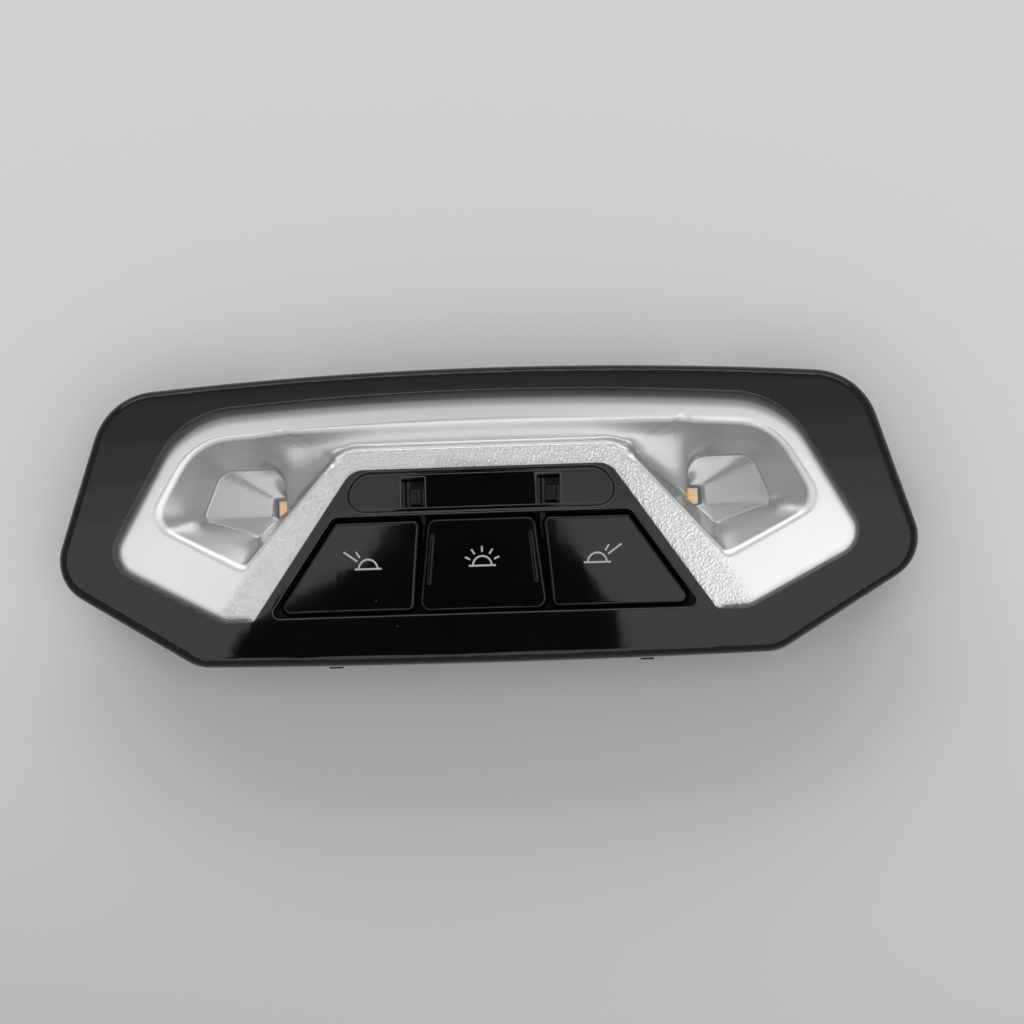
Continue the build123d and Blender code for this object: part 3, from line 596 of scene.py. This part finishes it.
def bead(name, path, depth, half_w, rise, tone, rough, body="unit"):
    """A flat rounded line along a closed path, lying on the front surface."""
    tg = np.roll(path, -1, axis=0) - np.roll(path, 1, axis=0)
    tg /= np.linalg.norm(tg, axis=1)[:, None]
    nr = np.stack([-tg[:, 1], tg[:, 0]], axis=1)
    prof = [(-1.0, -2.0), (-0.6, 0.5), (0.0, 1.0), (0.6, 0.5), (1.0, -2.0)]
    v, f = [], []
    n = len(path)
    for o, h in prof:
        q = path + nr * (o * half_w)
        for (x, y), z in zip(q, front_z(q[:, 0], q[:, 1], depth)):
            v.append((x * MM, (y + Y_SHIFT) * MM, (z + h * rise) * MM))
    for k in range(len(prof) - 1):
        for i in range(n):
            j = (i + 1) % n
            f.append((k * n + i, k * n + j, (k + 1) * n + j, (k + 1) * n + i))
    me = bpy.data.meshes.new(name)
    me.from_pydata(v, [], f)
    me.materials.append(material(name, tone, rough))
    me.polygons.foreach_set("use_smooth", [True] * len(f))
    me.update()
    ob = bpy.data.objects.new(name, me)
    scene.collection.objects.link(ob)
    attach(ob, body)
    return ob


# the grey of these beads is a painted highlight along the edges, lighter than the black bezel around them
bead("window_seam", WIN, 0.0, 0.11, 0.025, (0.085, 0.087, 0.094), 0.25)
STRIP = mirrored([(26.9, 9.0, 4.5), (32.8, 0.5, 3.6)])
OPENING = mirrored([(33.0, -0.6, 2.0), (48.15, -22.4, 1.3)])


def inset(pts, g):
    n = len(pts)
    out = []
    for i in range(n):
        (a, b, c, r) = corner_data(pts)[i]
        x, y, r = pts[i]
        vx, vy = c[0] - x, c[1] - y
        k = math.hypot(vx, vy)
        half = math.asin(min(1.0, r / k))
        out.append((x + vx / k * g / math.sin(half), y + vy / k * g / math.sin(half), max(r - g, 0.2)))
    return out


bead("strip_edge_outer", closed_loop(inset(STRIP, -0.45)), 0.0, 0.13, 0.02, (0.06, 0.06, 0.066), 0.2)
bead("strip_edge_inner", closed_loop(inset(STRIP, 0.55)), 0.3, 0.16, 0.03, (0.045, 0.045, 0.05), 0.2)
for s in (-1, 1):
    gx, gy = s * 15.1, 4.45
    w, h = 2.5 + 0.3, 3.25 + 0.3
    slot_pts = [(gx - w, gy + h, 0.35), (gx + w, gy + h, 0.35), (gx + w, gy - h, 0.35), (gx - w, gy - h, 0.35)]
    bead("slot_rim_" + ("left" if s < 0 else "right"), closed_loop(slot_pts), 0.35, 0.14, 0.03, (0.085, 0.085, 0.09), 0.2)
bead("opening_edge", closed_loop(inset(OPENING, -0.25)), 0.0, 0.12, 0.02, (0.06, 0.06, 0.065), 0.2)

# ---- stage ------------------------------------------------------------------------
bpy.ops.mesh.primitive_plane_add(size=6.0, location=(0, 0, 0))
floor = bpy.context.object
floor.name = "floor"
paper = material("floor_paper", (0.88, 0.88, 0.885), 0.75, tone=0.0, smear=0.0, grain=0.0)
g = Graph(paper)
xyz = g.node("ShaderNodeSeparateXYZ", {0: g.place})
# painted shade: the floor is darker towards the bottom and the left, standing in for light falling off
painted_falloff = g.math("MULTIPLY", g.ramp(xyz.outputs["Y"], -0.115, -0.015, 1.0, 0.0), g.ramp(xyz.outputs["X"], -0.11, 0.11, 1.0, 0.6))
g.to("Base Color", g.mix(painted_falloff, (0.88, 0.88, 0.885), (0.69, 0.69, 0.70)))
floor.data.materials.append(paper)


def area(name, loc, target, size, power, color=(1, 1, 1)):
    d = bpy.data.lights.new(name, "AREA")
    d.shape = "RECTANGLE"
    d.size, d.size_y = size
    d.energy = power
    d.color = color
    o = bpy.data.objects.new(name, d)
    scene.collection.objects.link(o)
    o.location = loc
    o.rotation_mode = "QUATERNION"
    o.rotation_quaternion = (Vector(target) - Vector(loc)).to_track_quat("-Z", "Y")
    return o


area("ceiling", (0.25, -0.70, 2.0), (0.25, -0.70, 0), (2.6, 1.7), 12.0)
for i, part in enumerate((0.82, 0.56, 0.34, 0.18, 0.08)):
    y = 0.15 + 0.1 * i + 0.05
    area("ceiling_fade_" + str(i), (0.25, y, 2.0), (0.25, y, 0), (2.6, 0.1), 12.0 * part * 0.1 / 1.7)
area("key", (-0.1, 1.6, 0.85), (0, 0.4, 0), (2.6, 0.8), 10.0)
area("key_soft", (-0.1, 1.6, 0.85), (0, 0.4, 0), (2.6, 0.8), 9.0).visible_glossy = False
shape = [(-0.34, -0.34), (0.01, -0.34), (0.008, -0.09), (0.0, -0.06), (-0.026, 0.003), (-0.045, 0.05), (-0.05, 0.085), (-0.075, 0.125),
         (-0.14, 0.135), (-0.168, 0.10), (-0.175, 0.06), (-0.205, 0.003), (-0.29, -0.05), (-0.32, -0.09)]
me = bpy.data.meshes.new("dark_middle")
me.from_pydata([(x, y, 0.9) for x, y in shape], [], [tuple(range(len(shape)))])
me.materials.append(material("dark_card", (0.004, 0.004, 0.005), 0.9))
dark = bpy.data.objects.new("dark_middle", me)
scene.collection.objects.link(dark)
world = bpy.data.worlds.new("studio")
scene.world = world
world.use_nodes = True
bg = world.node_tree.nodes["Background"]
bg.inputs["Color"].default_value = (0.985, 0.99, 1.0, 1.0)
bg.inputs["Strength"].default_value = 0.36
scene.view_settings.view_transform = "Standard"

# ---- camera -----------------------------------------------------------------------
YAW, PITCH, ROLL = math.radians(6.65), math.radians(4.0), math.radians(-1.365)
DIST = 1.5
rot = Matrix.Rotation(YAW, 3, "Y") @ Matrix.Rotation(PITCH, 3, "X") @ Matrix.Rotation(ROLL, 3, "Z")
aim = Vector((6.05 * MM, Y_SHIFT * MM, 18.8 * MM))
cd = bpy.data.cameras.new("camera")
cd.sensor_width = 36.0
cd.lens = 36.0 * (DIST / (0.2217 * MM)) / 1024.0
cam = bpy.data.objects.new("camera", cd)
scene.collection.objects.link(cam)
cam.matrix_world = Matrix.Translation(aim + rot @ Vector((0, 0, DIST))) @ rot.to_4x4()
cd.clip_start, cd.clip_end = 0.05, 20.0
scene.camera = cam
